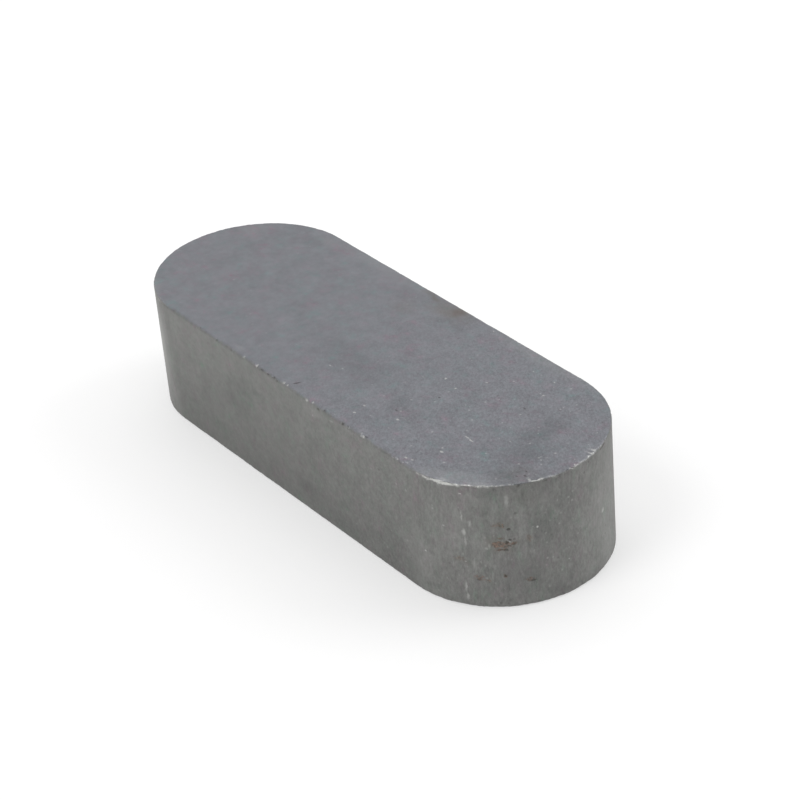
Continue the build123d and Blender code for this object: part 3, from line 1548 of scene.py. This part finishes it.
    # Dull stains, and painted shade: the soft dark bands just under the right end's upper edge, and the
    # darker middle of the right end, stand in for shade.
    stains_and_painted_shade: tuple[Spot, ...] = (
        *spots(
            Face.TOP,
            (24.8, 1.6, 2.8, 5.0, 0.52, -8.0), (26.6, -1.6, 3.6, 4.4, 0.50, -20.0),
            (28.4, -4.8, 3.0, 3.6, 0.52, -36.0), (1.0, -3.2, 9.5, 3.8, 0.34, -4.0),
            (12.0, -5.0, 4.6, 2.2, 0.24, -10.0), (-9.8, -1.8, 2.0, 1.0, 0.26, -10.0),
            (-18.2, 1.9, 2.2, 0.6, 0.22, -30.0), (-22.4, 8.0, 3.0, 2.4, 0.12, 20.0),
            (1.9, 10.2, 1.3, 1.0, 0.30), (-2.5, 10.6, 3.0, 1.2, 0.30), (1.6, -3.5, 2.0, 1.4, 0.26, -8.0),
        ),
        *spots(
            Face.RIGHT,
            (-18.0, 8.6, 3.2, 4.4, 0.40), (-30.0, 3.6, 5.2, 3.6, 0.42), (-12.0, 1.2, 3.4, 2.2, 0.48),
            (-36.0, 13.4, 3.8, 1.5, 0.36), (-14.0, 13.3, 3.6, 1.5, 0.46), (-6.0, 11.0, 2.6, 2.6, 0.34),
            (-77.5, 1.6, 1.2, 0.5, 0.30, -12.0), (-29.5, 13.2, 1.2, 0.6, 0.60),
        ),
        *spots(
            Face.FRONT,
            (-10.0, 7.2, 4.6, 3.4, 0.36, 14.0), (-5.2, 10.5, 1.8, 1.1, 0.72), (-7.8, 9.6, 5.4, 2.2, 0.42),
            (1.3, 10.7, 1.0, 0.5, 0.30), (4.6, 8.8, 2.6, 1.4, 0.30), (-15.2, 6.6, 2.4, 2.2, 0.30),
            (2.6, 2.8, 3.4, 1.3, 0.34), (10.0, 1.6, 5.0, 1.2, 0.26),
        ),
        *spots(Face.BACK, (-6.0, 8.0, 5.0, 2.5, 0.35, -10.0), (9.0, 4.0, 3.5, 2.0, 0.35, 8.0)),
        *spots(Face.LEFT, (-20.0, 8.0, 3.0, 3.0, 0.35)),
        *spots(Face.BOTTOM, (4.0, 2.0, 7.0, 3.2, 0.35, 12.0), (-20.0, -3.0, 4.0, 2.5, 0.30, -20.0)),
    )
    # Rust that has eaten in.
    rust_spots: tuple[Spot, ...] = (
        *spots(
            Face.RIGHT,
            (-40.6, 7.38, 0.85, 0.55, 0.95, 4.0), (-43.0, 7.20, 0.45, 0.36, 0.34),
            (-37.0, 7.30, 0.85, 0.60, 0.75), (-32.6, 7.42, 0.55, 0.28, 0.85, 10.0),
            (-39.6, 6.78, 0.80, 0.26, 0.60, 8.0), (-38.7, 8.06, 0.55, 0.16, 0.70),
            (-39.3, 9.58, 0.42, 0.42, 0.62), (-37.5, 9.50, 0.26, 0.28, 0.65),
            (-41.6, 9.55, 0.60, 0.34, 0.30), (-25.1, 7.75, 0.40, 0.70, 0.40, 20.0),
            (-50.6, 3.48, 0.78, 0.52, 0.52), (-46.2, 3.20, 0.42, 0.40, 0.40),
            (-37.9, 3.70, 0.34, 0.28, 0.60), (-25.4, 3.02, 0.80, 0.34, 0.55, -10.0),
            (-60.5, 5.5, 0.9, 0.5, 0.28),
        ),
        *spots(Face.BACK, (-13.0, 5.0, 1.3, 0.9, 0.9), (6.0, 1.8, 2.0, 0.6, 0.7)),
        *spots(Face.LEFT, (22.0, 6.0, 1.1, 0.8, 0.9), (36.0, 3.0, 0.5, 0.4, 0.8)),
        *spots(Face.BOTTOM, (-11.0, 3.0, 2.4, 1.3, 0.9, 20.0), (17.0, -5.0, 1.5, 1.0, 0.8, -30.0)),
    )
    # The old brown film round the rust, and along the back edge.
    rust_films: tuple[Spot, ...] = (
        *spots(
            Face.TOP,
            (1.9, 10.3, 1.9, 2.6, 1.0), (1.0, 9.8, 4.4, 2.8, 0.66, 8.0), (-2.6, 10.8, 2.8, 1.0, 0.75),
            (-3.4, 7.2, 3.0, 2.2, 0.24), (28.8, -4.6, 2.6, 3.6, 0.26, -36.0),
        ),
        *spots(
            Face.RIGHT,
            (-38.5, 7.3, 2.0, 1.3, 0.50), (-59.0, 5.5, 1.3, 0.6, 0.35), (-39.0, 9.5, 1.2, 0.8, 0.35),
            (-25.0, 7.7, 0.9, 1.0, 0.40),
        ),
        *spots(Face.BOTTOM, (-10.0, 3.4, 4.4, 2.6, 0.5, 20.0)),
    )

    def dress(self, key: bpy.types.Object) -> None:
        """Gives the key its steel.

        Args:
            key: The key.
        """
        steel = bpy.data.materials.new("worn_key_steel")
        graph = Graph.fresh(steel)
        position = graph.scaled(graph.node("TexCoord").outputs["Object"], 1 / MM)
        coarse = graph.soft(graph.parts(position)["X"], *self.coarser, *self.coarse)
        coat = self.worked(graph, position, coarse)
        coat = self.rusted(graph, position, coat)
        coat = self.marked(graph, position, coarse, coat)
        coat = self.worn(graph, position, coat)

        bump = graph.node("Bump")
        bump.inputs["Strength"].default_value = 1.0
        bump.inputs["Distance"].default_value = MM
        graph.feed(bump.inputs["Height"], coat.height)
        shader = graph.node("BsdfPrincipled")
        for name, value in (
            ("Base Color", coat.colour),
            ("Roughness", coat.roughness),
            ("Metallic", coat.metal),
            ("Normal", bump.outputs[0]),
        ):
            graph.feed(shader.inputs[name], value)
        graph.end("Material", shader.outputs[0])
        key.data.materials.append(steel)

    def worked(self, graph: Graph, position: Feed, coarse: Feed) -> Coat:
        """The bare finishes: ground faces, drawn flanks and milled ends.

        Args:
            graph: The material's tree.
            position: Where on the key, mm.
            coarse: How strong the grain is.

        Returns:
            The coat.
        """
        ground, drawn, milled = (finish.coat(graph, position, coarse) for finish in (GROUND, DRAWN, MILLED))
        wall = drawn.under(graph, milled, graph.attribute("milled"))
        ragged = Cloud.place(graph, position=position, size=self.fringe_size, detail=2.0)["Gloss"]
        upright = graph.math("MULTIPLY_ADD", ragged, self.fringe, graph.attribute("upright"))
        return ground.under(graph, wall, graph.soft(upright, *self.fringe_rise))

    def blemishes(
        self, graph: Graph, position: Feed, marks: tuple[Spot, ...], core: float = 0.35, depth: float = 1.4
    ) -> Socket:
        """Adds marks up.

        Args:
            graph: The material's tree.
            position: Where on the key, mm, with a ragged shift.
            marks: The marks.
            core: The share of a mark's size that is at full strength.
            depth: How far into the key a mark's oval reaches, mm.

        Returns:
            Their mask.
        """
        total: Feed = 0.0
        for mark in marks:
            centre, facing = mark.place(self.size)
            total = Blemish.place(
                graph,
                before=total,
                position=position,
                centre=tuple(centre),
                facing=tuple(facing),
                half_size=(mark.half_length, mark.half_width, depth),
                strength=mark.strength,
                core=core,
            )["Mask"]
        return total

    def shifted(self, graph: Graph, position: Feed, reach: float, size: float) -> Socket:
        """Shifts the position at random, which makes the outlines of marks ragged.

        Args:
            graph: The material's tree.
            position: Where on the key, mm.
            reach: By how much, mm.
            size: About how far apart the shifts differ, mm.

        Returns:
            The shifted position.
        """
        noise = graph.node("TexNoise", noise_dimensions="3D")
        graph.feed(noise.inputs["Vector"], position)
        noise.inputs["Scale"].default_value = 1 / size
        noise.inputs["Detail"].default_value = 2.0
        shift = graph.vector("SUBTRACT", noise.outputs["Color"], (0.5, 0.5, 0.5))
        return graph.vector("ADD", position, graph.scaled(shift, Cloud.spread * reach))

    def marked(self, graph: Graph, position: Feed, coarse: Feed, coat: Coat) -> Coat:
        """Adds dull stains and painted shade, painted glints and specks, scuffs and painted sheen, and
        small bruises.

        Args:
            graph: The material's tree.
            position: Where on the key, mm.
            coarse: How strong the grain is.
            coat: The finish below.

        Returns:
            The marked coat.
        """
        drifted = self.shifted(graph, position, self.drift, self.drift_size)
        # Stains, and painted shade under the right end's upper edge and in its middle.
        dull = self.blemishes(graph, drifted, self.stains_and_painted_shade, self.patch_core, self.drift_depth)
        coat = DULL.over(graph, coat, dull)

        shifted = self.shifted(graph, position, self.ragged, self.ragged_size)
        bruised = self.blemishes(graph, shifted, self.bruises)
        pitted = graph.math("MULTIPLY", PITTING.strew(graph, position), coarse)
        pitted = graph.math("MULTIPLY", pitted, self.pitting)
        coat = DENT.over(graph, coat, graph.math("MAXIMUM", bruised, pitted))

        # Painted glints: bright sparks and flecks where the grain is coarse.
        kinds = []
        for specks, strength in ((SPARKS, self.sparks), (FLECKS, self.flecks)):
            strong = graph.soft(coarse, *self.sparkling, *strength)
            kinds.append(graph.math("MULTIPLY", specks.strew(graph, position), strong))
        sparks = graph.math("MAXIMUM", *kinds)
        on_wall = graph.soft(graph.attribute("upright"), 0.0, 1.0, 1.0, self.wall_sparks)
        sparks = graph.math("MULTIPLY", sparks, on_wall)
        # Scuffs, with the painted sheen and painted highlight of the large faint marks on the round ends.
        scuff_and_sheen_mask = self.blemishes(graph, shifted, self.scuffs_and_painted_sheen, self.scuff_and_sheen_core)
        bright = graph.math("MAXIMUM", self.blemishes(graph, shifted, self.glints), scuff_and_sheen_mask)
        return GLINT.over(graph, coat, graph.math("MAXIMUM", bright, sparks))

    def worn(self, graph: Graph, position: Feed, coat: Coat) -> Coat:
        """Paints the shadow line under the edges, and bares the metal on them, partly as a painted
        highlight.

        Args:
            graph: The material's tree.
            position: Where on the key, mm.
            coat: The finish below.

        Returns:
            The worn coat.
        """
        grit = Cloud.place(graph, position=position, size=self.grit_size, detail=1.0)
        for layer, name, change, rise in (
            (EDGE_SHADOW, "shadow", "Hue", self.shadow_rise),
            (EDGE_BARE, "bare", "Shade", self.bare_rise),
        ):
            uneven = graph.math("MULTIPLY_ADD", grit[change], self.grit, 1.0)
            mask = graph.soft(graph.math("MULTIPLY", graph.attribute(name), uneven), *rise)
            coat = layer.over(graph, coat, mask)
        return coat

    def rusted(self, graph: Graph, position: Feed, coat: Coat) -> Coat:
        """Lets rust bloom where it has taken.

        Args:
            graph: The material's tree.
            position: Where on the key, mm.
            coat: The finish below.

        Returns:
            The rusted coat.
        """
        drifted = self.shifted(graph, position, self.drift, self.drift_size)
        film = self.blemishes(graph, drifted, self.rust_films, self.patch_core, self.drift_depth)
        coat = OLD_RUST.over(graph, coat, film)
        shifted = self.shifted(graph, position, self.ragged, self.ragged_size)
        patch = self.blemishes(graph, shifted, self.rust_spots)
        bloom = RustBloom.place(graph, patch=patch, position=position, crust=self.crust_size)
        brown = graph.tinted(bloom["Tone"], DARK_RUST, RUST.colour)
        coat = RUST.over(graph, coat, bloom["Cover"], brown)
        return RUST_PIT.over(graph, coat, graph.math("MULTIPLY", bloom["Pits"], self.rust_pits))


# ---------------------------------------------------------------------------------------------------------
# The studio
# ---------------------------------------------------------------------------------------------------------


def towards(azimuth: float, elevation: float) -> Vector:
    """A direction out from the key.

    Args:
        azimuth: Degrees round from -Y towards +X.
        elevation: Degrees above the floor.

    Returns:
        The direction, of length 1.
    """
    around, above = math.radians(azimuth), math.radians(elevation)
    flat = math.cos(above)
    return Vector((math.sin(around) * flat, -math.cos(around) * flat, math.sin(above)))


@dataclass(frozen=True)
class Lamp:
    """A soft window of light, far from the key."""

    name: str
    azimuth: float
    elevation: float
    strength: float
    spread: float  # degrees across
    colour: Colour = (1.0, 1.0, 1.0)

    def hang(self) -> None:
        """Adds the lamp."""
        light = bpy.data.lights.new(self.name, "SUN")
        light.energy = self.strength
        light.angle = math.radians(self.spread)
        light.color = self.colour
        lamp = show(self.name, light)
        lamp.rotation_mode = "QUATERNION"
        lamp.rotation_quaternion = towards(self.azimuth, self.elevation).to_track_quat("Z", "Y")


@dataclass
class Studio:
    """The floor, the light and the camera."""

    floor_radius: float = 3000.0  # mm
    floor_corners: int = 96
    floor_below: float = 0.01  # mm under the seat, so that the two don't share a plane
    floor_colour: Colour = (0.62, 0.62, 0.62)
    floor_lift: float = 0.40  # how much it glows of itself, which keeps it white
    room_dark: float = 0.48  # how light the room is on its dark side
    room_light: float = 1.18  # and on its light side
    room_low: float = 0.78  # how light the room is low down, beside what it is high up
    room_high: float = 0.5  # from where up it is so light, as the sine of the elevation
    room_light_from: tuple[float, float] = (258.0, 0.0)  # azimuth and elevation of its light side
    lamps: tuple[Lamp, ...] = (
        Lamp("left_window", 355.0, 50.0, 0.62, 26.0),
        Lamp("right_window", 155.6, 33.7, 0.62, 34.0),
        Lamp("ceiling", 200.0, 74.0, 0.50, 70.0),
    )
    # The camera: where it stands, seen from the key's middle, and how it is tipped, in degrees.
    azimuth: float = 55.333
    elevation: float = 32.181
    roll: float = -5.025
    distance: float = 259.96  # mm
    aside: tuple[float, float] = (2.567, 0.048)  # how far the camera stands right of and above its axis, mm
    lens: float = 113.41  # mm
    sensor: float = 36.0  # mm
    clip: tuple[float, float] = (10.0, 10_000.0)  # mm

    def lay_floor(self) -> bpy.types.Object:
        """Lays the floor.

        Returns:
            The floor.
        """
        mesh = bpy.data.meshes.new("floor")
        numbers = range(self.floor_corners)
        turns = [2 * math.pi * number / self.floor_corners for number in numbers]
        reach, level = self.floor_radius * MM, -self.floor_below * MM
        rim = [(reach * math.cos(turn), reach * math.sin(turn), level) for turn in turns]
        mesh.from_pydata(rim, [], [numbers])
        floor = show("floor", mesh)

        paper = bpy.data.materials.new("white_paper")
        graph = Graph.fresh(paper)
        matt = graph.node("BsdfDiffuse")
        matt.inputs["Color"].default_value = (*self.floor_colour, 1.0)
        rays = graph.node("LightPath").outputs
        seen = graph.math("MAXIMUM", rays["Is Camera Ray"], rays["Is Glossy Ray"])
        seen = graph.math("MAXIMUM", seen, rays["Is Transmission Ray"])
        glow = graph.node("Emission")
        graph.feed(glow.inputs["Strength"], graph.math("MULTIPLY", seen, self.floor_lift))
        both = graph.node("AddShader")
        graph.feed(both.inputs[0], matt.outputs[0])
        graph.feed(both.inputs[1], glow.outputs[0])
        graph.end("Material", both.outputs[0])
        mesh.materials.append(paper)
        return floor

    def light_room(self) -> None:
        """Lights the room, from a darker side to a lighter one, and hangs the lamps."""
        world = bpy.data.worlds.new("room")
        graph = Graph.fresh(world)
        way = graph.node("TexCoord").outputs["Generated"]
        side = graph.vector("DOT_PRODUCT", way, tuple(towards(*self.room_light_from)))
        low_down = graph.soft(graph.parts(way)["Z"], 0.0, self.room_high, self.room_low, 1.0)
        across = graph.soft(side, -1.0, 1.0, self.room_dark, self.room_light)
        background = graph.node("Background")
        graph.feed(background.inputs["Strength"], graph.math("MULTIPLY", low_down, across))
        graph.end("World", background.outputs[0])
        bpy.context.scene.world = world
        for lamp in self.lamps:
            lamp.hang()

    def set_camera(self, size: KeySize) -> None:
        """Sets the camera up.

        Args:
            size: The key's size.
        """
        out = towards(self.azimuth, self.elevation)
        around, roll = math.radians(self.azimuth), math.radians(self.roll)
        level = Vector((math.cos(around), math.sin(around), 0.0))
        upright = out.cross(level)
        right = math.cos(roll) * level + math.sin(roll) * upright
        up = math.cos(roll) * upright - math.sin(roll) * level
        centre = Vector((0.0, 0.0, size.height / 2))
        eye = centre + self.distance * out + self.aside[0] * right + self.aside[1] * up
        data = bpy.data.cameras.new("camera")
        data.sensor_width = self.sensor
        data.lens = self.lens
        data.clip_start, data.clip_end = (limit * MM for limit in self.clip)
        camera = show("camera", data)
        camera.matrix_world = Matrix.Translation(eye * MM) @ Matrix((right, up, out)).transposed().to_4x4()
        bpy.context.scene.camera = camera


def main() -> None:
    """Builds the key and its studio."""
    logging.basicConfig(level=logging.INFO, format="%(name)s: %(message)s")
    bpy.context.scene.view_settings.view_transform = "Standard"
    size = KeySize.of_node(KEY_NODE)
    LOG.info("size %.2f x %.2f x %.2f mm", size.length, size.width, size.height)

    key = KeyBody(size).build("parallel_key_steel")
    KeySteel(size).dress(key)
    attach(key, KEY_BODY)
    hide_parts(KEY_NODE)
    LOG.info("%s: %d faces", key.name, len(key.data.polygons))

    studio = Studio()
    studio.lay_floor()
    studio.light_room()
    studio.set_camera(size)
    LOG.info("studio: floor, room light, %d lamps and camera", len(studio.lamps))


if __name__ == "__main__":
    main()
